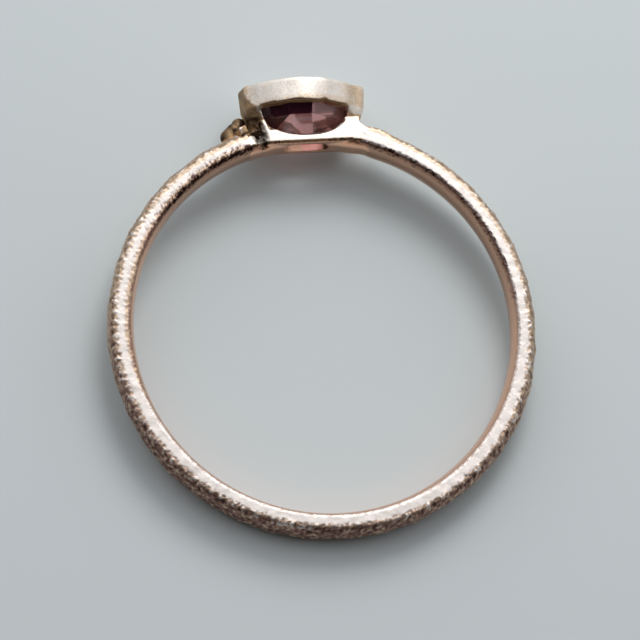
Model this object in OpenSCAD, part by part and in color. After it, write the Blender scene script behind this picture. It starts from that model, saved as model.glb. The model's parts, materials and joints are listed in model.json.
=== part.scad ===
// Hammered gold ring with a faceted stone in a plain bezel, lying on its side.
// Each piece is built with the finger hole's axis along Z and the stone towards +Y, and is then laid down.

/* [Finger hole] */
// Diameter of the finger hole just inside its two mouths
finger_d = 17.3; // [15:0.1:20]
// How far its wall stands in half-way through, rounded for comfort
inner_dome = 0.2; // [0.05:0.01:0.25]
// Chamfer where the finger hole meets the band's two sides
hole_chamfer = 0.11; // [0.04:0.01:0.2]

/* [Band] */
// Width of the band, along the finger
band_w = 1.72; // [1.4:0.02:2.2]
// Height of the band's crown above the finger hole
crown_t = 0.9; // [0.8:0.01:1.1]
// Mean thickness of the band's flat side
side_t = 0.6; // [0.5:0.01:0.75]
// Number of hammered flats round the outside
hammer_flats = 36; // [24:1:48]
// Share of the band's half-width where the crown begins to fall
crown_share = 0.3; // [0.15:0.05:0.5]

/* [Stone] */
// Height of the stone's pavilion, below the girdle
pavilion_h = 1.55; // [1.3:0.01:1.62]
// Thickness of the girdle
girdle_t = 0.08; // [0.04:0.01:0.12]
// Height of the crown, from the girdle to the table
stone_crown_h = 0.58; // [0.45:0.01:0.7]
// How far the crown's facets lean in, from the girdle to the table
crown_inset = 0.78; // [0.6:0.02:0.95]
// Gap between the stone and the metal
stone_gap = 0.04; // [0.02:0.01:0.06]

/* [Bezel] */
// Thickness of the bezel wall at its widest
bezel_wall = 0.32; // [0.25:0.01:0.45]
// Height of the bezel's rim above the finger hole
rim_h = 2.55; // [2.5:0.01:2.7]
// Height of the wall's lower edge above the finger hole
wall_low_h = 1.45; // [1.3:0.01:1.5]
// How far the lip turns in over the stone's edge
lip_in = 0.12; // [0.05:0.01:0.2]
// Lean of the bezel to one side of the band, in degrees
askew = 2.3; // [0:0.1:4]
// Shift of the bezel along the band that brings it back over its middle
bezel_shift = -0.43; // [-0.6:0.01:0]

/* [Window and open back] */
// Half-length of the window under the bezel wall
window_half = 1.96; // [1.8:0.01:2]
// Thickness of the rail that is left between the window and the finger hole
rail_t = 0.35; // [0.25:0.01:0.45]
// How far the finger hole is flattened inwards under the stone
under_flat = 0.22; // [0.05:0.01:0.3]
// Squareness of the window's lower corners
window_power = 2.3; // [2:0.1:4]
// Length of the oval hole in the band under the stone
back_l = 2; // [1.5:0.05:2.3]
// Width of the oval hole
back_w = 1; // [0.7:0.02:1.1]

/* [Granules] */
// Radius of the larger gold granule
granule_r = 0.36; // [0.3:0.01:0.45]
// Length that the larger granule is drawn out by, towards the bezel's rim
granule_long = 0.44; // [0.2:0.01:0.6]
// Radius of the smaller granule
small_granule_r = 0.33; // [0.25:0.01:0.4]

/* [Hidden] */
$fn = 96;

bore_r = finger_d / 2;
hole_r = bore_r - inner_dome;   // the hole's radius at its narrowest
half_w = band_w / 2;
far = 40;         // reach of the tools that cut a whole side
cut_past = 0.4;   // how far inside the bore the band's section starts
level_half = 0.35;   // half-length of the hole's level middle
mouth_steps = 3;     // cones from there to each mouth
mouth_power = 1.8;   // how much steeper they get
sections = 2 * hammer_flats;

// Band at each angle, anticlockwise from +X: its side's and its crown's thickness over their named sizes,
// and how far its upper side is set back in mm
// columns: angle, side, crown, set_back
band_table = [
    [  0, 0.86, 0.98, 0.00],
    [ 40, 0.82, 0.98, 0.01],
    [ 72, 0.85, 1.00, 0.00],
    [108, 0.95, 1.04, 0.00],
    [140, 1.04, 1.00, 0.02],
    [175, 1.10, 1.02, 0.00],
    [205, 1.02, 0.98, 0.01],
    [232, 0.92, 0.97, 0.03],
    [262, 0.86, 0.98, 0.00],
    [290, 0.98, 1.01, 0.01],
    [330, 0.95, 1.03, 0.00],
    [360, 0.86, 0.98, 0.00]
];

// Outline of the stone's girdle, half of it: the other half is the same corners turned half round
// columns: along the band, along the finger, reach of the facet at the keel
girdle_table = [
    [-2.53, -0.25, 1.15],
    [-2.40,  0.42, 0.70],
    [-0.95,  1.48, 0.00],
    [ 0.35,  1.66, 0.30]
];

// Outside of the bezel and its posts, from the band up
// columns: height above the finger hole, share of its length, share of its width
function cup_table() = [
    [0.25,             0.87,  0.42],
    [0.95,             0.905, 0.76],
    [wall_low_h,       0.975, 0.965],
    [rim_h - rim_edge, 1,     1],
    [rim_h,            0.975, 0.965]
];
rim_edge = 0.1;        // height of the rim's rounded outer edge
corner_steps = 3;      // short straight lines in each rounded corner
outer_round = 0.36;    // radius of the bezel's corners outside
inner_round = 0.06;    // radius of its corners inside

girdle_drop = 0.54;    // depth of the girdle below the rim
break_h = 1;           // depth below the girdle where the pavilion's upper facets end
break_share = 0.74;    // share of the girdle's size that is left there
relief_h = 1.15;       // depth of the hollow cut for the pavilion
relief_share = 0.7;    // share of the girdle's size at its bottom
slope_gap = 1.3 * stone_gap;   // gap beside the sloping pavilion, measured level

girdle_y = bore_r + rim_h - girdle_drop;
table_y = girdle_y + girdle_t + stone_crown_h;

shoulder_share = 0.67; // rise of the band's shoulder, from its side's thickness to its crown's
granule_spot = [21, 0.18, 0];            // larger granule: angle from the bezel, height, along the finger
small_granule_spot = [16.9, 0.58, -0.15];  // smaller granule, in the same way
granule_turn = -60;    // which way the larger granule is drawn out, in degrees
granule_end = 0.85;    // size of its outer end over its inner end's
granule_sides = 28;    // sides of the two balls that it is drawn between

corners = concat([for (c = girdle_table) [c[0], c[1]]], [for (c = girdle_table) [-c[0], -c[1]]]);
keel_reach = concat([for (c = girdle_table) c[2]], [for (c = girdle_table) c[2]]);
sides = len(corners);

// Outward unit normal of the side that starts at corner i, and its distance from the middle
function along(i) = corners[(i + 1) % sides] - corners[i % sides];
function normal(i) = [-along(i)[1], along(i)[0]] / norm(along(i));
function reach(i) = normal(i) * corners[i % sides];
function side_angle(i) = atan2(normal(i)[1], normal(i)[0]);

// The girdle's outline scaled, grown by a margin and rounded at its corners
function outline(long_share, wide_share, grow, round) = [
    for (i = [0 : sides - 1])
        let (
            before = normal(i + sides - 1),
            after = normal(i),
            inward = (before + after) / (1 + before * after),
            centre = corners[i] + (grow - round) * inward,
            start = atan2(before[1], before[0]),
            turn = turned(atan2(after[1], after[0]) - start)
        )
        for (k = [0 : corner_steps])
            let (a = start + turn * k / corner_steps, p = centre + round * [cos(a), sin(a)])
            [p[0] * long_share, p[1] * wide_share]
];
function turned(a) = a > 180 ? a - 360 : a < -180 ? a + 360 : a;

// Closed skin over equal rings of points [along the band, along the finger], each at its own height
module skin(heights, rings) {
    n = len(rings[0]);
    last = len(rings) - 1;
    points = [for (k = [0 : last]) for (p = rings[k]) [p[0], heights[k], p[1]]];
    walls = [
        for (k = [0 : last - 1]) for (i = [0 : n - 1])
            let (j = (i + 1) % n)
            each [[k * n + j, k * n + i, (k + 1) * n + i], [(k + 1) * n + j, k * n + j, (k + 1) * n + i]]
    ];
    caps = [[for (i = [0 : n - 1]) i], [for (i = [n - 1 : -1 : 0]) last * n + i]];
    polyhedron(points, concat(walls, caps), convexity = 4);
}

// Value of a table's column at angle a, eased from row to row
function eased(table, a, column) =
    let (
        row = max([for (i = [0 : len(table) - 2]) table[i][0] <= a ? i : 0]),
        share = (a - table[row][0]) / (table[row + 1][0] - table[row][0]),
        ease = (1 - cos(180 * share)) / 2
    )
    table[row][column] * (1 - ease) + table[row + 1][column] * ease;

// How much nearer the middle a flat lies than the circle through its two ends
function flat(a) =
    let (step = 360 / hammer_flats, half = step / 2, into = (a + 360) % step)
    cos(half) / cos(into - half);

// One section of the band: [distance from the axis, along the finger]
function band_section(a) =
    let (
        side = bore_r + side_t * eased(band_table, a, 1),
        crown = bore_r + crown_t * eased(band_table, a, 2),
        back = eased(band_table, a, 3),
        step = 360 / hammer_flats,
        shoulder = side + shoulder_share * (crown - side),
        crown_z = half_w * crown_share,
        shoulder_z = (half_w + crown_z) / 2
    )
    [
        [bore_r - cut_past, -half_w],
        [side * flat(a), -half_w],
        [shoulder * flat(a + step / 2), -shoulder_z],
        [crown * flat(a), -crown_z],
        [crown * flat(a), crown_z],
        [shoulder * flat(a + step / 2), shoulder_z],
        [side * flat(a), half_w - back],
        [bore_r - cut_past, half_w - back]
    ];

module band_blank() {
    rings = [for (k = [0 : sections - 1]) band_section(360 * k / sections)];
    n = len(rings[0]);
    points = [
        for (k = [0 : sections - 1]) for (p = rings[k])
            let (a = 360 * k / sections)
            [p[0] * cos(a), p[0] * sin(a), p[1]]
    ];
    faces = [
        for (k = [0 : sections - 1]) for (i = [0 : n - 1])
            let (m = (k + 1) % sections, j = (i + 1) % n)
            each [[m * n + i, k * n + i, k * n + j], [m * n + j, m * n + i, k * n + j]]
    ];
    polyhedron(points, faces, convexity = 4);
}

// Leans and shifts what is built upright on the band's middle, as the bezel stands
module askew_on_band() {
    rotate([0, 0, -askew]) translate([bezel_shift, 0, 0]) children();
}

module bezel_blank() {
    rows = cup_table();
    skin(
        [for (r = rows) bore_r + r[0]],
        [for (r = rows) outline(r[1], r[2], bezel_wall, outer_round)]
    );
}

// Hollow for the stone: follows the pavilion, stands straight at the girdle and closes in under the lip
module stone_hollow() {
    over = 0.1;
    lip_y = girdle_y + girdle_t + stone_gap;
    rim_y = bore_r + rim_h;
    lip_slope = (stone_gap + lip_in) / (rim_y - lip_y);
    skin(
        [girdle_y - relief_h, girdle_y - break_h, girdle_y, lip_y, rim_y + over],
        [
            outline(relief_share, relief_share, stone_gap, inner_round),
            outline(break_share, break_share, slope_gap, inner_round),
            outline(1, 1, stone_gap, inner_round),
            outline(1, 1, stone_gap, inner_round),
            outline(1, 1, -lip_in - over * lip_slope, inner_round)
        ]
    );
}

// Window under the bezel wall, right through: straight on top, its lower edge a rounded sweep
module window() {
    steps = 24;
    depth = wall_low_h + under_flat - rail_t;
    top = bore_r + wall_low_h;
    sweep = [
        for (k = [0 : steps])
            let (x = -window_half * cos(180 * k / steps))
            [x, top - depth * pow(max(0, 1 - pow(abs(x / window_half), window_power)), 1 / window_power)]
    ];
    linear_extrude(2 * far, center = true) polygon(sweep);
}

module open_back() {
    r = back_w / 2;
    half = back_l / 2 - r;
    height = 2 * crown_t;
    translate([0, bore_r - crown_t, 0]) rotate([-90, 0, 0]) {
        for (x = [-half, half]) translate([x, 0, 0]) cylinder(r = r, h = height);
        translate([-half, -r, 0]) cube([2 * half, back_w, height]);
    }
}

// Place on the outside of the band: angle from the bezel, height over the crown, along the finger
module on_band(spot) {
    rotate([0, 0, spot[0]]) translate([0, bore_r + crown_t + spot[1], spot[2]]) children();
}

module granules() {
    on_band(granule_spot) hull() {
        sphere(granule_r, $fn = granule_sides);
        rotate([0, 0, granule_turn]) translate([0, granule_long, 0])
            sphere(granule_r * granule_end, $fn = granule_sides);
    }
    on_band(small_granule_spot) sphere(small_granule_r);
}

// Radius of the finger hole at share k of the way from its level middle to its mouth
function mouth_r(k) = hole_r + (inner_dome + hole_chamfer) * pow(k, mouth_power);

// The finger hole, wider towards its two mouths, less the flat that stands into it under the stone
module finger_hole() {
    step = (half_w - level_half) / mouth_steps;
    straight = half_w - hole_chamfer;
    flat_y = bore_r - under_flat;
    difference() {
        union() {
            cylinder(r = hole_r, h = far, center = true);
            for (side = [0, 1]) mirror([0, 0, side]) for (k = [0 : mouth_steps - 1])
                let (
                    low = mouth_r(k / mouth_steps),
                    high = mouth_r((k + 1) / mouth_steps),
                    reach = k < mouth_steps - 1 ? 1 : 2
                )
                translate([0, 0, level_half + step * k])
                    cylinder(r1 = low, r2 = low + (high - low) * reach, h = step * reach);
        }
        rotate([90, 0, 90]) linear_extrude(2 * far, center = true) polygon([
            [flat_y, straight],
            [flat_y, -straight],
            [flat_y + far, -straight - far],
            [flat_y + far, straight + far]
        ]);
    }
}

// Lays the ring on its side: it rests on the bezel's rim and on the far side of the band
bezel_half_w = max([for (p = outline(1, 1, bezel_wall, outer_round)) p[1]]);
bezel_reach = bore_r + rim_h - rim_edge;
band_reach = bore_r + side_t * eased(band_table, 270, 1);
rest_lean = atan((bezel_half_w - half_w) / (bezel_reach + band_reach));
rest_lift = half_w * cos(rest_lean) + band_reach * sin(rest_lean);
rest_shift = -(table_y - bore_r - crown_t) / 2;   // puts the middle of the whole ring on the origin
module laid_down() {
    translate([0, rest_shift, rest_lift]) rotate([rest_lean, 0, 0]) children();
}

module gold_ring() {
    color("burlywood") laid_down() difference() {
        union() {
            band_blank();
            askew_on_band() bezel_blank();
            granules();
        }
        finger_hole();
        askew_on_band() stone_hollow();
        askew_on_band() window();
        open_back();
    }
}

// Keeps what lies inside the plane through two points [distance from the middle, height], facing one side
module facet(angle, low, high) {
    run = (high - low) / norm(high - low);
    inward = [-run[1], run[0]];
    a = low - run * far;
    b = high + run * far;
    rotate([0, -angle, 0]) linear_extrude(2 * far, center = true)
        polygon([a, b, b + inward * 2 * far, a + inward * 2 * far]);
}

module spinel_stone() {
    keel_y = girdle_y - pavilion_h;
    crown_y = girdle_y + girdle_t;
    break_y = girdle_y - break_h;
    color("palevioletred") laid_down() askew_on_band() intersection() {
        translate([-far, table_y - far, -far]) cube([2 * far, far, 2 * far]);
        intersection_for (i = [0 : sides - 1]) {
            d = reach(i);
            facet(side_angle(i), [d, 0], [d, 1]);
            facet(side_angle(i), [d * break_share, break_y], [d, girdle_y]);
            facet(side_angle(i), [keel_reach[i], keel_y], [d * break_share, break_y]);
            facet(side_angle(i), [d, crown_y], [d - crown_inset, table_y]);
        }
    }
}

gold_ring();
spinel_stone();
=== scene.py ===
import bpy
import bmesh
import json
import math
from mathutils import Matrix, Vector, noise


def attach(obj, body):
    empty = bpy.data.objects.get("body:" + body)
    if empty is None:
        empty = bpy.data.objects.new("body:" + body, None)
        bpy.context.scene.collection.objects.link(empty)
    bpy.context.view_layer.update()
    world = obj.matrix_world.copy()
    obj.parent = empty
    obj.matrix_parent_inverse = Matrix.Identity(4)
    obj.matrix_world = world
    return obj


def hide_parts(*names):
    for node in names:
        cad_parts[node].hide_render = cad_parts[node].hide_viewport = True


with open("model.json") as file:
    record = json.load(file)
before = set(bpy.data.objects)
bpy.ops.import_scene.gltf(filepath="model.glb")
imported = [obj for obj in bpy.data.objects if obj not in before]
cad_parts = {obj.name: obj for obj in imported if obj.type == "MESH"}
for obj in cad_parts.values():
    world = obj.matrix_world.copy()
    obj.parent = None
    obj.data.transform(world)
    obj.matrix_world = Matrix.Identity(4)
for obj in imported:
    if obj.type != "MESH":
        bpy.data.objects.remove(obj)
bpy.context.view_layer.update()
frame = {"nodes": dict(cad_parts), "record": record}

# The ring is modelled in millimetres with its finger axis along Z and its stone towards +Y.
# Each finished piece is then shrunk to metres and laid down as the frame's ring lies.
mm = 0.001
boreMount = frame["record"]["mounts"][0]
innerDome = 0.2    # how far the hole's wall stands in half-way through
boreRadius = boreMount["dims"]["r_mm"] + innerDome
boreCentre = Vector(boreMount["pos_m"])
layAngle = math.atan2(-boreMount["axis"][1], boreMount["axis"][2])
layDown = Matrix.Translation(boreCentre) @ Matrix.Rotation(layAngle, 4, "X") @ Matrix.Scale(mm, 4)


def deselectAll():
    if bpy.context.object and bpy.context.object.mode != "OBJECT":
        bpy.ops.object.mode_set(mode="OBJECT")
    bpy.ops.object.select_all(action="DESELECT")


def focus(obj):
    deselectAll()
    obj.select_set(True)
    bpy.context.view_layer.objects.active = obj


def selectAll():
    bpy.ops.mesh.select_all(action="SELECT")


def selectNone():
    bpy.ops.mesh.select_all(action="DESELECT")


def startEdit(obj, mode="FACE"):
    focus(obj)
    bpy.ops.object.mode_set(mode="EDIT")
    bpy.ops.mesh.select_mode(type=mode)
    selectNone()


def leaveEdit():
    bpy.ops.object.mode_set(mode="OBJECT")


def pick(obj, kind, test):
    # selects the verts, edges or faces whose middle passes the test, and says how many
    bm = bmesh.from_edit_mesh(obj.data)
    for face in bm.faces:
        face.select_set(False)
    count = 0
    for item in getattr(bm, kind):
        where = item.co if kind == "verts" else sum((v.co for v in item.verts), Vector()) / len(item.verts)
        if test(where, item):
            item.select_set(True)
            count += 1
    bm.select_flush_mode()
    bmesh.update_edit_mesh(obj.data)
    return count


def applyAll(obj):
    focus(obj)
    for modifier in list(obj.modifiers):
        bpy.ops.object.modifier_apply(modifier=modifier.name)


def clamp(value):
    return min(1.0, max(0.0, value))


def mix(low, high, share):
    return low + (high - low) * share


def smoothstep(low, high, value):
    share = clamp((value - low) / (high - low))
    return share * share * (3 - 2 * share)


def between(low, high, width, value):
    # 1 from low to high, eased to 0 over the width on both sides
    return smoothstep(low - width, low, value) * (1 - smoothstep(high, high + width, value))


def roughNoise(place, layers=3, fade=0.6, finer=2.0):
    # layers of noise, each that many times finer than the one before, faded with its fineness
    return noise.fractal(place, fade, finer, layers)


# camera

photoView = {
    "ringPixel": (323.4, 328.1),   # middle of the finger hole in the 640 x 640 picture
    "pixelsPerMm": 22.514,         # at the ring's middle
    "distance": 150.0,             # mm from the ring's middle
    "tilt": 17.53,                 # degrees between the view and the finger axis
    "tiltTowards": 63.47,          # direction on the picture that tips away, degrees
    "stoneTowards": 94.3,          # direction on the picture of the stone, degrees
    "picture": 640,
    "sensor": 36.0,                # mm
    "clip": (0.005, 5.0),          # m
}


def addCamera(view):
    tilt = math.radians(view["tilt"])
    lean = math.radians(view["tiltTowards"])
    across = Vector((math.sin(lean), -math.cos(lean), 0))
    away = Vector((math.cos(lean) * math.cos(tilt), math.sin(lean) * math.cos(tilt), math.sin(tilt)))
    toCamera = Vector((-math.sin(tilt) * math.cos(lean), -math.sin(tilt) * math.sin(lean), math.cos(tilt)))
    right = across * math.sin(lean) + away * math.cos(lean)
    up = -across * math.cos(lean) + away * math.sin(lean)
    half = view["picture"] / 2
    place = (
        toCamera * view["distance"]
        - right * (view["ringPixel"][0] - half) / view["pixelsPerMm"]
        + up * (view["ringPixel"][1] - half) / view["pixelsPerMm"]
    )
    # the picture's directions, turned so that the stone points along the ring's own +Y
    turn = Matrix.Rotation(math.radians(90 - view["stoneTowards"]), 4, "Z")
    axes = Matrix((right, up, toCamera)).transposed().to_4x4()
    pose = layDown @ turn @ Matrix.Translation(place) @ axes
    data = bpy.data.cameras.new("photoCamera")
    data.sensor_width = view["sensor"]
    data.lens = view["pixelsPerMm"] * view["distance"] / view["picture"] * view["sensor"]
    data.clip_start, data.clip_end = view["clip"]
    camera = bpy.data.objects.new("photoCamera", data)
    bpy.context.scene.collection.objects.link(camera)
    camera.matrix_world = Matrix.LocRotScale(pose.translation, pose.to_quaternion(), None)
    bpy.context.scene.camera = camera
    return camera


camera = addCamera(photoView)
print("camera: lens", round(camera.data.lens, 1))


# materials

def hexColour(text):
    # sRGB hex to the linear values that the shader works in
    channels = [int(text[i:i + 2], 16) / 255 for i in (1, 3, 5)]
    return [c / 12.92 if c <= 0.04045 else ((c + 0.055) / 1.055) ** 2.4 for c in channels] + [1.0]


def addNode(tree, kind, inputs=None, **settings):
    node = tree.nodes.new("ShaderNode" + kind)
    for name, value in settings.items():
        setattr(node, name, value)
    for name, value in (inputs or {}).items():
        socket = node.inputs[name]
        if isinstance(value, bpy.types.NodeSocket):
            tree.links.new(value, socket)
        else:
            socket.default_value = value
    return node


def newMaterial(name):
    material = bpy.data.materials.new(name)
    material.use_nodes = True
    tree = material.node_tree
    return material, tree, tree.nodes["Principled BSDF"]


# 14 carat rose gold: pale and satin where it was rubbed on a stone, darker and browner in the cross-filed
# outside, full rose colour where it is polished inside, nearly black polishing dirt in pits and scraped
# edges.
# Its filed and dirt colours also paint shade: on one side of the outside, and on the inner edge and the
# hole's wall beside the setting; its rubbed colour also paints glints on the file marks' crests
goldLook = {
    "rose": "#DAC3A8",
    "rubbed": "#E9E0D9",
    "filed": "#9C766C",
    "inside": "#F0BFA1",
    "stoneLight": "#F2B4A8",       # where pink light falls through the stone
    "dirtAndShade": "#36241D",
    "rubbedRough": 0.52,
    "insideRough": 0.2,
    "satin": (-0.07, 0.1),         # how far the grain takes the rubbed metal's roughness down and up
    "grainMm": 0.08,
    "grainBump": 0.03,             # mm
    "sideBump": 0.25,              # share of it that metal has which isn't filed
    "rubMm": 0.16,                 # size of the rubbed-bright speckles
    "rubFrom": 0.6,                # wear and speckle, added up, from which metal is bright
    "rubSoft": 0.3,                # how gently the speckles fade out
}

# the setting was rubbed matt all over: creamier, with yellower places
settingLook = {
    "rose": "#E6C8A4",
    "rubbed": "#FFF8EF",
    # its filed and dirt colours also paint shade on the underside, both ends, the left post's foot and the
    # granules
    "filed": "#AA8D6C",
    "dirtAndShade": "#35271E",
    "rubbedRough": 0.5,
    "rubMm": 0.1,
    "rubFrom": 0.56,
    "rubSoft": 0.55,
}

# how much of each finish, of painted shade and of painted light a point of the gold takes, kept as attributes
# of its mesh
goldShares = ("dirtAndShade", "inside", "filed", "wornAndGlint", "stoneLight")


def roseGold(name, look):
    material, tree, shader = newMaterial(name)
    share = {part: addNode(tree, "Attribute", attribute_name=part).outputs["Fac"] for part in goldShares}
    place = addNode(tree, "TexCoord")
    back = layDown.inverted()
    ringPlace = addNode(tree, "Mapping", {
        "Vector": place.outputs["Object"],
        "Location": back.translation,
        "Rotation": back.to_euler(),
        "Scale": (1 / mm, 1 / mm, 1 / mm),
    })
    ringMm = ringPlace.outputs["Vector"]
    grain = addNode(tree, "TexNoise", {
        "Vector": ringMm, "Scale": 1 / look["grainMm"], "Detail": 4.0, "Roughness": 0.6,
    })
    speckle = addNode(tree, "TexNoise", {
        "Vector": ringMm, "Scale": 1 / look["rubMm"], "Detail": 5.0, "Roughness": 0.65,
    })
    reach = addNode(tree, "Math", {0: speckle.outputs["Fac"], 1: share["wornAndGlint"]}, operation="ADD")
    rub = addNode(tree, "MapRange", {
        "Value": reach.outputs["Value"],
        "From Min": look["rubFrom"],
        "From Max": look["rubFrom"] + look["rubSoft"],
    }, interpolation_type="SMOOTHSTEP")
    colour = addNode(tree, "Mix", {
        "Factor": rub.outputs["Result"], "A": hexColour(look["rose"]), "B": hexColour(look["rubbed"]),
    }, data_type="RGBA")
    for part in ("filed", "inside", "stoneLight", "dirtAndShade"):
        colour = addNode(tree, "Mix", {
            "Factor": share[part], "A": colour.outputs["Result"], "B": hexColour(look[part]),
        }, data_type="RGBA")
    smoother, rougher = look["satin"]
    satin = addNode(tree, "MapRange", {
        "Value": grain.outputs["Fac"], "From Min": 0.3, "From Max": 0.7,
        "To Min": look["rubbedRough"] + smoother, "To Max": look["rubbedRough"] + rougher,
    })
    rough = addNode(tree, "Mix", {
        "Factor": share["inside"], "A": satin.outputs["Result"], "B": look["insideRough"],
    })
    bite = addNode(tree, "MapRange", {"Value": share["filed"], "To Min": look["sideBump"], "To Max": 1.0})
    bump = addNode(tree, "Bump", {
        "Height": grain.outputs["Fac"],
        "Distance": look["grainBump"] * mm,
        "Strength": bite.outputs["Result"],
    })
    shader.inputs["Metallic"].default_value = 1.0
    tree.links.new(colour.outputs["Result"], shader.inputs["Base Color"])
    tree.links.new(rough.outputs["Result"], shader.inputs["Roughness"])
    tree.links.new(bump.outputs["Normal"], shader.inputs["Normal"])
    return material


# cut spinel: plum to mauve, its facets painted pale in light and plum in shade by the way they face, a high
# index for its sharp bright and dark facets, a little dull from wear
stoneLook = {
    # painted light on the facets, and painted shade on those facing facetShadeTowards
    "light": "#FFC4C2",
    "facetShade": "#3A1626",
    "clear": 0.93,         # how much light the pale facets let through, and the ones painted in shade
    "shadedFacetClear": 0.15,
    "rough": 0.14,
    "specular": 0.3,
    "ior": 1.718,
}


def cutSpinel(name, look):
    material, tree, shader = newMaterial(name)
    facetShade = addNode(tree, "Attribute", attribute_name="facetShade")
    colour = addNode(tree, "Mix", {
        "Factor": facetShade.outputs["Fac"], "A": hexColour(look["light"]), "B": hexColour(look["facetShade"]),
    }, data_type="RGBA")
    clear = addNode(tree, "MapRange", {
        "Value": facetShade.outputs["Fac"], "To Min": look["clear"], "To Max": look["shadedFacetClear"],
    })
    tree.links.new(colour.outputs["Result"], shader.inputs["Base Color"])
    shader.inputs["Roughness"].default_value = look["rough"]
    shader.inputs["Specular IOR Level"].default_value = look["specular"]
    shader.inputs["IOR"].default_value = look["ior"]
    tree.links.new(clear.outputs["Result"], shader.inputs["Transmission Weight"])
    return material


goldMaterial = roseGold("filedRoseGold", goldLook)
settingMaterial = roseGold("wornRoseGold", {**goldLook, **settingLook})
stoneMaterial = cutSpinel("cutSpinel", stoneLook)
print("materials:", goldMaterial.name, settingMaterial.name, stoneMaterial.name)


def finishPiece(obj, material):
    # metres, laid down as the ring lies, its place kept in its mesh
    obj.data.transform(layDown)
    obj.data.materials.clear()
    obj.data.materials.append(material)
    focus(obj)
    bpy.ops.object.shade_smooth()
    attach(obj, "root")
    print(obj.name, len(obj.data.polygons), "faces")


# shank: one strip of gold, its section spun round the finger from one side of the setting to the other

shankDims = {
    # the strip, in mm and in degrees from +X
    "width": 1.72,
    "sideThickness": 0.6,
    "crownThickness": 0.9,
    "crownFlat": 0.26,        # half of the crown's level middle
    "crownSegments": 9,
    "innerRound": 0.15,
    "innerSegments": 5,
    "domeDepth": 0.35,        # how deep into the metal the hole's domed wall is felt
    "start": 107.0,           # at the setting's left
    "end": 434.5,
    "steps": 1000,
    "longestEdge": 0.064,     # of the section's parts
    "longestInside": 0.11,    # the polished inner face needs fewer
    "flats": 36,
    "tuck": 0.06,             # how far its end draws in where it flows into the setting
    "tuckOver": 6.0,
    # how uneven it is, by degrees: the side's and the crown's thickness over their own, the side's set-back
    "wander": [
        (0, 0.86, 0.98, 0.00), (40, 0.82, 0.98, 0.01), (60, 0.87, 1.00, 0.00), (73, 1.20, 1.00, 0.00),
        (108, 0.95, 1.04, 0.00), (140, 1.04, 1.06, 0.02), (175, 1.10, 1.05, 0.00), (205, 1.02, 0.98, 0.01),
        (232, 0.92, 0.97, 0.03), (262, 0.86, 0.98, 0.00), (290, 0.98, 1.01, 0.01), (330, 0.95, 1.09, 0.00),
        (360, 0.86, 0.98, 0.00),
    ],
    # hand work
    "filePitch": 0.17, "fileLength": 0.22, "fileDepth": 0.045,      # file marks across the outside
    "dentSize": 0.9, "dentDepth": 0.02,                             # hammer marks within the flats
    "paintedShadeTowards": 255.0,                                           # where the outside is painted darker as shade, with dirtier file marks
    "chipDepth": 0.06, "chipReach": 0.15, "chipsLeast": 0.2,        # chips along the side's outer edge
    "fringeWide": 0.1,                                              # how far the outside laps over that edge
    "scrapedTowards": 75.0,                                         # where the inner edge is most scraped and darkest, its darkness dirt and painted shade
    "edgePitch": 0.1, "edgeDepth": 0.035, "edgeLeast": 0.5,         # scrapes on it
    "bevelTowards": 140.0, "bevelWide": 0.32, "bevelDepth": 0.6,    # where most of the side is scraped down
    "bevelFade": 0.06,
    "raggedSize": 0.13, "patchSize": 0.7,                           # specks of polishing dirt and of painted shade, their patches
    "sideSize": 0.4, "sideDepth": 0.014,                            # waves in the rubbed side
    "sideGrain": 0.1, "sideGrainDepth": 0.004,
    "pitSpacing": 0.7, "pitRadius": 0.05, "pitDepth": 0.02,
    # how much of a finish, painted shade and painted glint such places take, from 0 to 1; of two values the
    # first is where it is least
    "grooveDirtAndShade": (0.3, 0.8),      # in file marks: dirt, with painted shade making more of it on the shaded side
    # dirt on the scraped bevel, with painted shade making more of it beside the setting
    "bevelDirtAndShade": (0.12, 0.8),
    "edgeDirtAndShade": (0.1, 0.35),       # on the whole inner edge, under the specks: dirt, with painted shade making more of it beside the setting
    "patchDirtAndShade": (0.4, 1.0),       # in the specks' patches beside the setting: dirt and painted shade
    "shadeDirt": 0.35,             # painted shade, speckled, inside the hole beside the setting
    "pitDirt": 0.6,
    "fringeDirtAndShade": 0.4,             # what is left of the file marks' dirt and painted shade where they lap over the edge
    "rubbed": 0.47,                # on the side
    "glint": 0.45,                 # on the crests between file marks
    # the filed colour outside: least on the crests, which are lighter as painted glints
    "outsideFiled": (0.1, 0.95),
    "outsidePaintedShade": (0.35, 1.0),    # painted shade: what is left of that round the ring, all of it on the shaded side
    "fringeFiled": 0.5,            # and over the edge
    "bevelFiled": (0.2, 0.75),
    "bevelFar": (0.4, 1.0),        # what is left of that far from the setting; beside it, painted shade makes it full
    "edgeFiled": 0.45,
}


def wander(angle, rows):
    # eased from row to row
    angle %= 360
    for low, high in zip(rows, rows[1:]):
        if angle <= high[0]:
            ease = (1 - math.cos(math.pi * (angle - low[0]) / (high[0] - low[0]))) / 2
            return [mix(a, b, ease) for a, b in zip(low[1:], high[1:])]


def splitLongEdges(obj, limit):
    # halves every edge over the limit at its place until none is left
    startEdit(obj, "EDGE")
    while pick(obj, "edges", lambda where, edge: edge.calc_length() > limit(where)):
        bpy.ops.mesh.subdivide(number_cuts=1)
        selectNone()
    leaveEdit()


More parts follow.
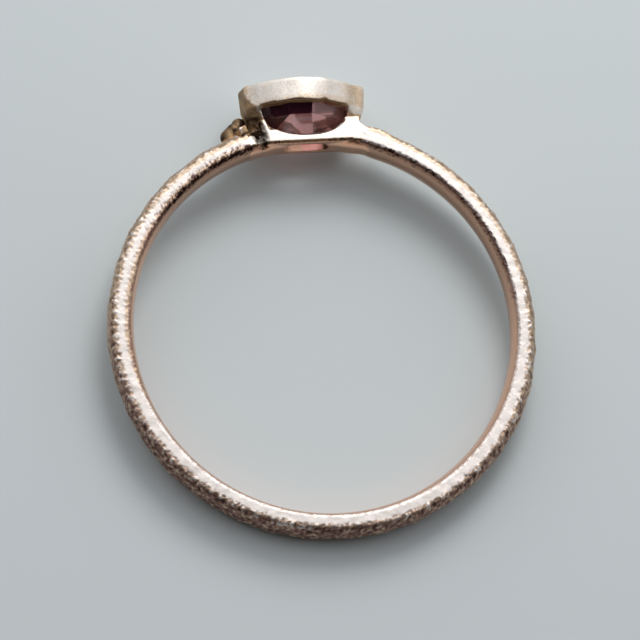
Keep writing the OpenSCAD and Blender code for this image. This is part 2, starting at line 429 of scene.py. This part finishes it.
def makeShank(dims):
    crown = dims["crownThickness"]
    drop = crown - dims["sideThickness"]
    middle = (boreRadius + crown / 2, 0, 0)
    # the section is bevelled while it is squeezed, so that a round bevel gives the crown's flatter curve
    squeeze = drop / (dims["width"] / 2 - dims["crownFlat"])
    deselectAll()
    bpy.ops.mesh.primitive_plane_add(size=1, location=middle, rotation=(math.pi / 2, 0, 0))
    shank = bpy.context.object
    shank.name = "shank"
    bpy.ops.object.transform_apply(location=True, rotation=True, scale=True)
    startEdit(shank, "VERT")
    selectAll()
    bpy.ops.transform.resize(value=(crown, 1, dims["width"] * squeeze), center_override=middle)
    selectNone()
    pick(shank, "verts", lambda where, v: where.x > middle[0])
    bpy.ops.mesh.bevel(offset=drop, segments=dims["crownSegments"], affect="VERTICES")
    selectAll()
    bpy.ops.transform.resize(value=(1, 1, 1 / squeeze), center_override=middle)
    selectNone()
    pick(shank, "verts", lambda where, v: where.x < middle[0])
    bpy.ops.mesh.bevel(offset=dims["innerRound"], segments=dims["innerSegments"], affect="VERTICES")
    leaveEdit()
    innerEnd = boreRadius + 0.01
    splitLongEdges(shank, lambda where: dims["longestInside" if where.x < innerEnd else "longestEdge"])
    # the section's outline alone is spun, and both ends are closed
    startEdit(shank)
    selectAll()
    bpy.ops.mesh.delete(type="ONLY_FACE")
    selectAll()
    bpy.ops.transform.rotate(value=-math.radians(dims["start"]), orient_axis="Z", center_override=(0, 0, 0))
    leaveEdit()
    turn = shank.modifiers.new("turn", "SCREW")
    turn.angle = math.radians(dims["end"] - dims["start"])
    turn.steps = turn.render_steps = dims["steps"]
    turn.use_merge_vertices = False
    applyAll(shank)
    startEdit(shank, "EDGE")
    bpy.ops.mesh.select_non_manifold()
    bpy.ops.mesh.edge_face_add()
    selectAll()
    bpy.ops.mesh.normals_make_consistent(inside=False)
    leaveEdit()
    return shank


def flatShare(angle, flats):
    # a hammered flat lies nearer the middle than the circle through its ends
    half = 180 / flats
    return math.cos(math.radians(half)) / math.cos(math.radians(angle % (2 * half) - half))


def addShares(mesh):
    for name in goldShares:
        mesh.attributes.new(name, "FLOAT", "POINT")
    return {name: mesh.attributes[name].data for name in goldShares}


def flatWay(degrees):
    # a direction square to the finger
    return Vector((math.cos(math.radians(degrees)), math.sin(math.radians(degrees)), 0))


def innerEdge(outward):
    # the rounded edge between the hole and the side, by how far its normal points outwards
    return between(-0.8, -0.25, 0.15, outward)


def hammeredPlace(co, dims):
    # where a point of the even strip goes on the hammered one: its angle, its radius and its height, with its
    # depth over the hole and how far it is from the side's outer edge
    half = dims["width"] / 2
    halfCrown = dims["crownThickness"] / 2
    angle = math.degrees(math.atan2(co.y, co.x))
    side, crown, setBack = wander(angle, dims["wander"])
    toSide = smoothstep(dims["crownFlat"], half, abs(co.z))
    depth = (math.hypot(co.x, co.y) - boreRadius) * mix(crown, side, toSide)
    flatter = 1 - flatShare(angle, dims["flats"])
    radius = (boreRadius + depth) * (1 - flatter * depth / dims["crownThickness"])
    radius -= innerDome * (1 - (co.z / half) ** 2) * (1 - smoothstep(0, dims["domeDepth"], depth))
    z = co.z - setBack * smoothstep(0, half, co.z)
    # its last end flows into the setting
    lastAngle = dims["end"] - 360
    fromEnd = lastAngle - angle if angle < lastAngle + 1 else 360
    tuck = dims["tuck"] * (1 - smoothstep(0, dims["tuckOver"], fromEnd))
    radius += (boreRadius + halfCrown - radius) * tuck / halfCrown
    z -= z * tuck / half
    return angle, radius, z, depth, dims["sideThickness"] * side - depth


def toolMarks(along, radius, z, dims):
    # what file, hammer, scraper and stone leave at a place on the unrolled strip, and its pits
    place = Vector((along, radius, z))
    filed = roughNoise(Vector((
        along / dims["filePitch"], radius / dims["fileLength"], z / dims["fileLength"])), 3, 0.7, 2.1)
    dent = noise.noise(place / dims["dentSize"])
    scraped = roughNoise(Vector((along, radius, z + 7)) / dims["edgePitch"], 2)
    grain = noise.noise(place / dims["sideGrain"])
    wave = noise.noise(Vector((along, radius + 5, z)) / dims["sideSize"])
    toPit = noise.voronoi(place / dims["pitSpacing"])[0][0] * dims["pitSpacing"]
    return filed, dent, scraped, grain, wave, 1 - smoothstep(0, dims["pitRadius"], toPit)


def sculptShank(shank, dims):
    mesh = shank.data
    shares = addShares(mesh)
    half = dims["width"] / 2
    middleRadius = boreRadius + dims["crownThickness"] / 2
    scrapedWay, bevelWay, paintedShadeWay = (
        flatWay(dims[name]) for name in ("scrapedTowards", "bevelTowards", "paintedShadeTowards"))
    spots = []
    for vert in mesh.vertices:
        angle, radius, z, depth, toCorner = hammeredPlace(vert.co, dims)
        way = Vector((vert.co.x, vert.co.y, 0)).normalized()
        outward = vert.normal.dot(way)
        along = math.radians(angle % 360) * middleRadius
        filed, dent, scraped, grain, wave, pit = toolMarks(along, radius, z, dims)

        # which part of the strip this is
        # how far this faces the side painted in shade, where the outside is darker and its file marks
        # dirtier; chips follow it too
        towardsPaintedShade = way.dot(paintedShadeWay)
        # painted shade also grows towards the setting: on the inner edge, the bevel and the hole's wall
        nearSetting = smoothstep(0, 0.6, way.dot(scrapedWay))
        face = smoothstep(0.6, 0.9, abs(vert.normal.z))
        edge = innerEdge(outward)
        chipShare = mix(dims["chipsLeast"], 1, smoothstep(-0.85, -0.2, towardsPaintedShade))
        chips = face * chipShare
        fringe = chips * (1 - smoothstep(0, dims["fringeWide"], toCorner + 0.1 * scraped))
        outside = max(smoothstep(0.3, 0.65, outward), fringe)
        bevelWide = dims["bevelWide"] * smoothstep(0.35, 0.9, way.dot(bevelWay)) * (
            1 + 0.35 * noise.noise(Vector((along, 0, 0)) / dims["sideSize"]))
        bevel = (1 - outside) * smoothstep(0.1, 0.4, vert.normal.z) * smoothstep(0, 0.1, bevelWide) * (
            1 - smoothstep(bevelWide - dims["bevelFade"], bevelWide + dims["bevelFade"],
                           radius - boreRadius + 0.06 * scraped))
        boreSide = smoothstep(0.5, 0.8, -outward)
        rim = max(edge, boreSide * smoothstep(half - 0.36, half - 0.22, z + 0.08 * scraped))
        # painted shade on the hole's wall beside the setting, towards its upper side: filed colour instead of
        # the polished one, with specks
        shade = boreSide * nearSetting * smoothstep(half - 0.55, half - 0.1, z + 0.1 * scraped)

        # how far it moves
        scrapes = max(edge * max(nearSetting, dims["edgeLeast"]), bevel * dims["bevelDepth"])
        chipped = 1 - smoothstep(0, dims["chipReach"], toCorner)
        move = (
            outside * (filed * dims["fileDepth"] + dent * dims["dentDepth"])
            + scrapes * scraped * dims["edgeDepth"]
            + face * (grain * dims["sideGrainDepth"] + wave * dims["sideDepth"])
            - chips * chipped * max(0, -scraped) * dims["chipDepth"]
            - (outside + face) * pit * dims["pitDepth"]
        )
        spots.append(Vector((way.x * radius, way.y * radius, z)) + vert.normal * move)

        # dirt and painted shade
        dense = 0.45 * bevel * (1 - smoothstep(0.05, 0.25, depth))
        specks = roughNoise(Vector((along, radius, z)) / dims["raggedSize"]) + dense
        ragged = smoothstep(0.05 * bevel - 0.1, 0.05 * bevel + 0.4, specks)
        patches = smoothstep(-0.25, 0.25, noise.noise(Vector((along, 0, 11)) / dims["patchSize"]))
        grooveDirtAndShade = outside * smoothstep(0.08, 0.5, -filed) * mix(1, dims["fringeDirtAndShade"], fringe)
        grooveDirtAndShade *= mix(*dims["grooveDirtAndShade"], smoothstep(-0.7, 0.3, towardsPaintedShade))
        edgeDirtAndShade = max(
            mix(*dims["edgeDirtAndShade"], nearSetting) * between(-0.95, -0.5, 0.15, outward),
            mix(*dims["patchDirtAndShade"], patches) * nearSetting * rim * ragged,
            dims["shadeDirt"] * shade * ragged,
        )
        bevelDirtAndShade = mix(*dims["bevelDirtAndShade"], nearSetting ** 2) * bevel * ragged
        pitDirt = dims["pitDirt"] * face * pit
        shares["dirtAndShade"][vert.index].value = clamp(grooveDirtAndShade + edgeDirtAndShade + bevelDirtAndShade + pitDirt)

        # wear and polish, and painted glints
        # painted glints on the file marks' crests near the side's outer edge
        glint = outside * smoothstep(0.1, 0.35, filed) * smoothstep(-0.3, -0.1, toCorner)
        rubbed = dims["rubbed"] * smoothstep(0.45, 0.7, abs(vert.normal.z))
        rubbed *= 1 - bevel * (1 - smoothstep(0.15, 0.32, depth + 0.05 * scraped))
        rubbed *= smoothstep(-0.05, 0.14, toCorner + 0.1 * chipShare * scraped)
        shares["wornAndGlint"][vert.index].value = max(dims["glint"] * glint, rubbed)
        shares["inside"][vert.index].value = smoothstep(0.75, 0.95, -outward) * (1 - 0.6 * shade)

        # the filed colour: the filed outside and scraped edges, with painted shade on the shaded side, beside
        # the setting and on the hole's wall, and less of it on crests painted as glints
        least, most = dims["outsideFiled"]
        outsideFiled = outside * mix(most, least, max(glint, smoothstep(0.12, 0.45, filed)))
        outsideFiled *= mix(*dims["outsidePaintedShade"], smoothstep(-0.1, 0.6, towardsPaintedShade))
        outsideFiled *= mix(1, dims["fringeFiled"], fringe)
        bevelFiled = bevel * mix(*dims["bevelFiled"], ragged) * mix(*dims["bevelFar"], nearSetting)
        shares["filed"][vert.index].value = clamp(
            outsideFiled + bevelFiled + shade + dims["edgeFiled"] * edge * ragged)
    for vert, spot in zip(mesh.vertices, spots):
        vert.co = spot


shank = makeShank(shankDims)
sculptShank(shank, shankDims)
finishPiece(shank, goldMaterial)


# setting: the bezel on its two posts, the rail under its window and the two granules, from the frame's own
# gold, remeshed fine enough for tool marks and softened at its edges

settingDims = {
    # its shape, in mm from the ring's middle and in degrees from the stone
    "leftReach": 27.0,             # how much of the band is kept to the stone's left, granules and all
    "rightReach": 20.0,
    "voxel": 0.042,
    "softening": 3,
    "wallSoftening": 14,
    "wallLow": 9.8,                # height from which the bezel's wall is evened out
    "wallRise": 0.25,              # over which that sets in
    "wallMiddle": (-0.3, 0.0),     # middle of its outline, along the band and the finger
    "wallSteps": 180,              # parts that its outline is measured in
    "wallEase": 10,                # how many of them its corners are eased over
    "wallEnds": (0.1, 0.45),       # sine of the turn from its two ends over which it sets in
    "wallSkin": 0.16,              # depth of wall that follows
    "bandReach": 0.93,             # mm over the finger hole that the band takes
    "bandFade": 0.08,
    "bandMiddle": 0.45,            # where it sinks to
    "sink": 0.05,                  # how far the kept band lies under the shank's skin
    "sinkLeft": (17.0, 19.0),      # from where to where it goes under
    "sinkRight": (14.0, 17.0),
    # flush fillings of solder beside the window: along the band, height, turn in degrees, length, height
    "ledges": [
        (-1.86, 9.12, 20.0, 0.30, 0.96),
        (2.08, 9.10, 0.0, 0.68, 0.94),
        (2.60, 8.93, -31.0, 1.30, 0.44),
        (1.67, 9.16, 39.0, 0.50, 0.20),
        (-2.87, 9.16, 24.0, 0.36, 0.36),
    ],
    "ledgeZ": (0.2, 0.862),
    # hand work
    "waveSize": 1.1, "waveDepth": 0.03,                 # the wall isn't quite even
    "grainSize": 0.1, "grainDepth": 0.003,
    "lowEdge": 10.1, "edgeReach": 0.28,                 # height of the wall's lower edge, its waves' reach
    "edgeWaveSize": 0.55, "edgeWave": 0.05,
    "notch": (0.82, 0.16, 0.1),                         # a nick in it: along the band, half-width, depth
    "scoop": (-2.2, 8.98), "scoopSize": (0.4, 0.8),     # rough hollow beside the left post, painted in shade
    "scoopLean": 0.3, "scoopDepth": 0.2, "scoopPitch": 0.12,
    "leftPost": ((-2.9, -2.15), (8.95, 9.75)),          # its foot, painted in shade, along the band and in height
    "leftSlant": (-2.72, 10.95, 1.6),                   # line under the left corner: a point, its slope
    "rightSlant": (1.98, 9.9, 0.75),
    "granule": (19.0, 1.015),                           # degrees from the stone, mm over the hole
    "smallGranule": (15.0, 1.15, 1.9),
    "lightHole": (-1.1, 1.4),                           # the oval hole under the stone, along the band
    "lightPool": (-0.05, 0.75),                         # where most light falls in it
    "raggedSize": 0.13, "slantSize": 0.2, "goldenSize": 0.3, "shadeMottleSize": 0.35,
    # how much of a finish and of painted shade such places take, from 0 to 1
    "edgeDirtAndShade": (0.3, 0.9),        # dirt and painted shade on the inner edge, under the stone and away from it
    "undersideShade": 0.1,
    "postShade": 0.8,
    "leftEndShade": 0.35,
    "rightEndShade": 0.3,
    "lowLineShade": 0.7,               # painted shade in the line under the wall's edge
    # painted shade at the oval hole's right end
    "holeShade": 0.9,
    "undersideShadeBrown": 0.8,
    "rightEndShadeBrown": 0.7,
    "rubbed": 0.5,
    "goldenLow": 0.45,             # the wall is less rubbed, so golden, at its lower edge and its two ends
    "goldenLeft": 0.45,
    "goldenRight": 0.65,
    "pool": (0.35, 1.0),           # pink light beside the pool and in it
}


def copyNode(name, newName):
    mesh = frame["nodes"][name].data.copy()
    mesh.transform(layDown.inverted())
    obj = bpy.data.objects.new(newName, mesh)
    bpy.context.scene.collection.objects.link(obj)
    startEdit(obj)
    selectAll()
    bpy.ops.mesh.remove_doubles(threshold=0.0005)
    leaveEdit()
    return obj


def makeSetting(dims):
    setting = copyNode("gold_ring", "setting")
    for reach, side in ((dims["leftReach"], 1), (dims["rightReach"], -1)):
        turned = math.radians(90 + side * reach)
        cut = Vector((-math.sin(turned), math.cos(turned), 0)) * side
        startEdit(setting)
        selectAll()
        bpy.ops.mesh.bisect(
            plane_co=(0, 0, 0), plane_no=cut, use_fill=True, clear_outer=True, threshold=0.0001)
        leaveEdit()
    low, high = dims["ledgeZ"]
    for x, y, turned, length, height in dims["ledges"]:
        deselectAll()
        bpy.ops.mesh.primitive_cube_add(
            size=2, location=(x, y, (low + high) / 2), rotation=(0, 0, math.radians(turned)),
            scale=(length / 2, height / 2, (high - low) / 2))
        setting.select_set(True)
        bpy.context.view_layer.objects.active = setting
        bpy.ops.object.join()
    remesh = setting.modifiers.new("remesh", "REMESH")
    remesh.mode = "VOXEL"
    remesh.voxel_size = dims["voxel"]
    soften = setting.modifiers.new("soften", "SMOOTH")
    soften.factor = 0.5
    soften.iterations = dims["softening"]
    applyAll(setting)
    evenWall(setting, dims)
    return setting


def turnValue(values, step):
    # a value of a closed row, between two of its steps
    low = math.floor(step)
    return mix(values[low % len(values)], values[(low + 1) % len(values)], step - low)


def evenWall(setting, dims):
    # the wall's outline, seen along the stone's axis, is eased over its corners
    steps = dims["wallSteps"]
    middleX, middleZ = dims["wallMiddle"]
    reach = [0.0] * steps
    wall = []
    for vert in setting.data.vertices:
        if vert.co.y > dims["wallLow"]:
            across = vert.co.x - middleX, vert.co.z - middleZ
            step = math.atan2(across[1], across[0]) / math.tau * steps
            reach[int(step % steps)] = max(reach[int(step % steps)], math.hypot(*across))
            wall.append((vert, across, step - 0.5))
    reach = [sum(reach[(i + k) % steps] for k in (-1, 0, 1)) / 3 for i in range(steps)]
    near = range(-dims["wallEase"], dims["wallEase"] + 1)
    eased = [sum(reach[(i + k) % steps] for k in near) / len(near) for i in range(steps)]
    skin = setting.vertex_groups.new(name="skin")
    for vert, across, step in wall:
        length = math.hypot(*across)
        old, new = turnValue(reach, step), turnValue(eased, step)
        share = smoothstep(old - 2 * dims["wallSkin"], old - dims["wallSkin"], length)
        share *= smoothstep(dims["wallLow"], dims["wallLow"] + dims["wallRise"], vert.co.y)
        share *= smoothstep(*dims["wallEnds"], abs(across[1]) / length)
        grow = 1 + (new / old - 1) * share
        vert.co.x = middleX + across[0] * grow
        vert.co.z = middleZ + across[1] * grow
        if share > 0.5:
            skin.add([vert.index], 1.0, "REPLACE")
    even = setting.modifiers.new("even", "SMOOTH")
    even.factor = 0.5
    even.iterations = dims["wallSoftening"]
    even.vertex_group = "skin"
    applyAll(setting)


def overLine(x, y, line):
    # how far a point is over a slanting line
    atX, atY, slope = line
    return y - atY + slope * (x - atX)


def scoopAt(x, y, z, dims):
    # how deep a point lies in the rough hollow beside the left post, and its streaks
    scoopX, scoopY = dims["scoop"]
    scoopWide, scoopHigh = dims["scoopSize"]
    rise = y - scoopY
    away = math.hypot((x - scoopX + dims["scoopLean"] * rise) / scoopWide, rise / scoopHigh)
    hollow = (1 - smoothstep(0.45, 1.1, away)) * smoothstep(0.3, 0.7, z)
    streak = roughNoise(Vector((
        (x + y * 0.6) / dims["scoopPitch"], (y - x) / (4 * dims["scoopPitch"]), z)))
    return hollow, streak


def paintedShadeParts(vert, place, dims):
    # how far a point belongs to what is painted in shade: the underside, the line under the wall's edge, both
    # ends behind the slanting corners, the left post's foot and the granules
    x, y, z = vert.co
    overhang = smoothstep(0.9, 1.2, abs(z)) * smoothstep(9.6, 9.8, y)    # where it is wider than the band
    underside = smoothstep(0.3, 0.7, -vert.normal.y) * overhang
    lowLine = between(0.3, 0.65, 0.1, -vert.normal.y) * overhang
    behindFront = 1 - smoothstep(0.95, 1.25, z)
    overLeft = overLine(x, y, dims["leftSlant"]) + 0.14 * noise.noise(place / dims["slantSize"])
    leftEnd = smoothstep(1.9, 2.05, -x) * behindFront * (1 - smoothstep(-0.1, 0.1, overLeft))
    leftEnd = min(1.0, leftEnd + smoothstep(2.62, 2.72, -x)) * smoothstep(9.2, 9.5, y)
    overRight = overLine(x, y, dims["rightSlant"])
    rightEnd = smoothstep(1.7, 1.85, x) * behindFront * (1 - smoothstep(-0.1, 0.1, overRight))
    rightEnd *= smoothstep(9.5, 9.6, y)
    postX, postY = dims["leftPost"]
    leftPost = between(*postX, 0.12, x) * between(*postY, 0.12, y) * smoothstep(-0.2, 0.1, z)
    fromStone = math.degrees(math.atan2(-x, y))
    overBore = math.hypot(x, y) - boreRadius
    bigTurn, bigOver = dims["granule"]
    big = smoothstep(bigTurn - 0.5, bigTurn + 0.5, fromStone)
    big *= smoothstep(bigOver - 0.035, bigOver + 0.035, overBore)
    smallTurn, smallOver, smallTop = dims["smallGranule"]
    small = smoothstep(smallTurn - 0.5, smallTurn + 0.5, fromStone)
    small *= between(smallOver, smallTop, 0.05, overBore) * (1 - smoothstep(9.9, 10.0, y))
    return underside, lowLine, leftEnd, rightEnd, leftPost, max(big, small)


def sculptSetting(setting, dims):
    mesh = setting.data
    shares = addShares(mesh)
    notchAt, notchHalf, notchDepth = dims["notch"]
    spots = []
    for vert in mesh.vertices:
        place = vert.co.copy()
        x, y, z = place
        radius = math.hypot(x, y)
        overBore = radius - boreRadius
        way = Vector((x, y, 0)) / radius
        outward = vert.normal.dot(way)
        fromStone = math.degrees(math.atan2(-x, y))

        # the wall's face, and its lower edge over the window
        wall = smoothstep(dims["lowEdge"] - 0.5, dims["lowEdge"] - 0.1, y)
        wall *= smoothstep(-0.3, 0.3, outward + abs(vert.normal.z))
        wave = noise.noise(place / dims["waveSize"]) * dims["waveDepth"] * wall
        grain = noise.noise(place / dims["grainSize"]) * dims["grainDepth"]
        place = place + vert.normal * (wave + grain)
        low = 1 - smoothstep(0, dims["edgeReach"], abs(y - dims["lowEdge"]))
        low *= smoothstep(0.9, 1.2, abs(z)) * (1 - smoothstep(1.9, 2.3, abs(x)))
        nick = math.exp(-((x - notchAt) / notchHalf) ** 2) * notchDepth * smoothstep(0, 1, z)
        place.y += low * (noise.noise(Vector((x / dims["edgeWaveSize"], 3.3, z))) * dims["edgeWave"] + nick)
        hollow, streak = scoopAt(x, y, z, dims)
        place.z -= hollow * dims["scoopDepth"] * (1 + 0.9 * streak)

        # the band's kept ends lie under the shank
        band = 1 - smoothstep(dims["bandReach"], dims["bandReach"] + dims["bandFade"], overBore)
        under = band * max(
            smoothstep(*dims["sinkLeft"], fromStone), smoothstep(*dims["sinkRight"], -fromStone))
        toMiddle = way * (boreRadius + dims["bandMiddle"]) - Vector((place.x, place.y, 0))
        place += toMiddle.normalized() * dims["sink"] * under
        place.z -= math.copysign(dims["sink"] * under, z)
        spots.append(place)

        # the filed colour: painted shade on the underside, both ends, the left post's foot and the granules,
        # and the inner edge's own filed marks
        underside, lowLine, leftEnd, rightEnd, leftPost, ball = paintedShadeParts(vert, place, dims)
        edge = innerEdge(outward) * band * smoothstep(0.5, 0.8, abs(z))
        shares["filed"][vert.index].value = max(
            leftEnd, leftPost, ball, edge, dims["undersideShadeBrown"] * underside, dims["rightEndShadeBrown"] * rightEnd)

        # wear and polish
        golden = smoothstep(10.0, 10.1, y) * max(
            dims["goldenLow"] * (1 - smoothstep(0.1, 0.4, y - dims["lowEdge"])),
            dims["goldenRight"] * smoothstep(1.3, 2.4, x),
            dims["goldenLeft"] * smoothstep(2.1, 2.6, -x),
        )
        golden *= mix(0.7, 1, smoothstep(-0.5, 0.5, noise.noise(place / dims["goldenSize"])))
        aboveBand = smoothstep(9.7, 9.8, y)
        flush = smoothstep(0.7, 0.95, vert.normal.z) * smoothstep(0.7, 0.8, z) * (1 - aboveBand)
        rubbed = dims["rubbed"] * max(flush, aboveBand * (1 - underside))
        shares["wornAndGlint"][vert.index].value = rubbed * (1 - ball) * (1 - golden)
        shares["inside"][vert.index].value = (
            smoothstep(0.55, 0.85, -outward) * (1 - smoothstep(0.2, 0.5, overBore)))

        # light through the stone, on the wall of the oval hole
        hole = between(*dims["lightHole"], 0.1, x) * (1 - smoothstep(8.85, 8.95, y))
        hole *= (1 - smoothstep(0.5, 0.65, abs(z))) * smoothstep(0.2, 0.5, 1 - abs(vert.normal.y))
        pool = between(*dims["lightPool"], 0.12, x)
        shares["stoneLight"][vert.index].value = hole * mix(*dims["pool"], pool)

        # dirt and painted shade
        ragged = smoothstep(-0.15, 0.35, roughNoise(place / dims["raggedSize"]))
        shadeMottle = max(0.0, 0.45 + noise.noise(place / dims["shadeMottleSize"]))
        dark = (
            # painted shade in the rough hollow, broken by its streaks
            hollow * (1 - 0.5 * max(0, streak))
            + edge * ragged * mix(*dims["edgeDirtAndShade"], smoothstep(0.5, 1.5, abs(x)))
            # painted shade, mottled, on the underside, the left post's foot, both ends and the granules
            + shadeMottle * (dims["undersideShade"] * underside + dims["postShade"] * leftPost
                         + dims["leftEndShade"] * leftEnd + dims["rightEndShade"] * rightEnd + ball)
            + dims["lowLineShade"] * lowLine
        )
        # painted shade at the oval hole's right end
        holeShade = dims["holeShade"] * hole * smoothstep(0.78, 0.9, x)
        shares["dirtAndShade"][vert.index].value = max(clamp(dark), holeShade)
    for vert, spot in zip(mesh.vertices, spots):
        vert.co = spot


setting = makeSetting(settingDims)
sculptSetting(setting, settingDims)
finishPiece(setting, settingMaterial)
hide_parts("gold_ring")
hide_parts("gold_ring")


# stone: the frame's own facets, painted in light and shade by the way they face

stoneDims = {
    # facets facing this way are painted in shade
    "facetShadeTowards": (-0.5, 0.5, 0.55),
    "facetShadeFrom": -0.15,        # how far a facet faces that way before painted shade darkens its colour, and when it is full
    "facetShadeTo": 0.15,
    "crownFrom": 0.3,         # facets that face up more than this are the crown's
    "crownShade": 0.35,
    "spread": 0.06,           # how much facets differ beside that
    "spreadStep": 2.4,
}


def makeStone(dims):
    stone = copyNode("spinel_stone", "cutStone")
    startEdit(stone)
    selectAll()
    bpy.ops.mesh.dissolve_limited(angle_limit=math.radians(1))
    leaveEdit()
    facetShade = stone.data.attributes.new("facetShade", "FLOAT", "FACE").data
    facetShadeWay = Vector(dims["facetShadeTowards"])
    for face in stone.data.polygons:
        share = smoothstep(dims["facetShadeFrom"], dims["facetShadeTo"], face.normal.dot(facetShadeWay))
        if face.normal.y > dims["crownFrom"]:
            share = dims["crownShade"]
        facetShade[face.index].value = clamp(share + dims["spread"] * math.sin(face.index * dims["spreadStep"]))
    return stone


stone = makeStone(stoneDims)
finishPiece(stone, stoneMaterial)
focus(stone)
bpy.ops.object.shade_flat()
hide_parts("spinel_stone")


# floor and light

roomLook = {
    "floor": "#CDD4D4",
    "floorRough": 0.7,
    "floorSize": 2.0,
    "sky": "#F8FAFF",
    "skyStrength": 0.72,
    "glowStrength": 0.42,       # added towards the brighter part of the sky
    "glowTowards": 105.0,
    "glowHeight": 45.0,
    "glowWide": 0.1,            # cosine from its middle at which it ends
    "shade": "#8A7D74",         # the darker side of the room
    "shadeStrength": 0.06,
    "shadeTowards": 255.0,      # degrees from +X on the floor
    "shadeHeight": 20.0,        # degrees over the floor
    "shadeFull": 0.72,          # cosine from its middle up to which it is full, and where it ends
    "shadeEnd": 0.2,
    "horizonLow": -0.05,        # the sky fades in from the horizon
    "horizonHigh": 0.35,
    "keyTowards": 72.0,         # the one softbox
    "keyHeight": 46.0,
    "keyDistance": 0.13,
    "keySize": 0.065,
    "keyPower": 0.068,
    "keyColour": "#FFFFFF",
}


def makeFloor(look):
    # painted board: pale, matt and even
    deselectAll()
    bpy.ops.mesh.primitive_plane_add(size=look["floorSize"], location=(0, 0, 0))
    floor = bpy.context.object
    floor.name = "floor"
    material, tree, shader = newMaterial("paintedBoard")
    shader.inputs["Base Color"].default_value = hexColour(look["floor"])
    shader.inputs["Roughness"].default_value = look["floorRough"]
    floor.data.materials.append(material)


def skyWay(azimuth, elevation):
    a, e = math.radians(azimuth), math.radians(elevation)
    return Vector((math.cos(a) * math.cos(e), math.sin(a) * math.cos(e), math.sin(e)))


def addSoftbox(look):
    data = bpy.data.lights.new("key", "AREA")
    data.shape = "DISK"
    data.size = look["keySize"]
    data.energy = look["keyPower"]
    data.color = hexColour(look["keyColour"])[:3]
    light = bpy.data.objects.new("key", data)
    bpy.context.scene.collection.objects.link(light)
    way = skyWay(look["keyTowards"], look["keyHeight"])
    light.location = way * look["keyDistance"]
    light.rotation_euler = way.to_track_quat("Z", "Y").to_euler()


def makeSky(look):
    world = bpy.data.worlds.new("softSky")
    bpy.context.scene.world = world
    world.use_nodes = True
    tree = world.node_tree
    lookWay = addNode(tree, "TexCoord").outputs["Generated"]
    glow, shade = (
        addNode(tree, "VectorMath", {0: lookWay, 1: skyWay(azimuth, height)}, operation="DOT_PRODUCT")
        for azimuth, height in (
            (look["glowTowards"], look["glowHeight"]), (look["shadeTowards"], look["shadeHeight"])))
    full = addNode(tree, "MapRange", {
        "Value": glow.outputs["Value"], "From Min": look["glowWide"], "From Max": 1.0,
        "To Min": look["skyStrength"], "To Max": look["skyStrength"] + look["glowStrength"],
    })
    unshaded = addNode(tree, "MapRange", {
        "Value": shade.outputs["Value"], "From Min": look["shadeFull"], "From Max": look["shadeEnd"],
    }, interpolation_type="SMOOTHSTEP")
    high = addNode(tree, "SeparateXYZ", {"Vector": lookWay})
    over = addNode(tree, "MapRange", {
        "Value": high.outputs["Z"], "From Min": look["horizonLow"], "From Max": look["horizonHigh"],
    }, interpolation_type="SMOOTHSTEP")
    share = addNode(tree, "Math", {
        0: unshaded.outputs["Result"], 1: over.outputs["Result"],
    }, operation="MULTIPLY")
    colour = addNode(tree, "Mix", {
        "Factor": share.outputs["Value"], "A": hexColour(look["shade"]), "B": hexColour(look["sky"]),
    }, data_type="RGBA")
    strength = addNode(tree, "MapRange", {
        "Value": share.outputs["Value"], "To Min": look["shadeStrength"], "To Max": full.outputs["Result"],
    })
    background = tree.nodes["Background"]
    tree.links.new(colour.outputs["Result"], background.inputs["Color"])
    tree.links.new(strength.outputs["Result"], background.inputs["Strength"])


makeFloor(roomLook)
makeSky(roomLook)
addSoftbox(roomLook)
bpy.context.scene.view_settings.view_transform = "Standard"
print("floor and light")
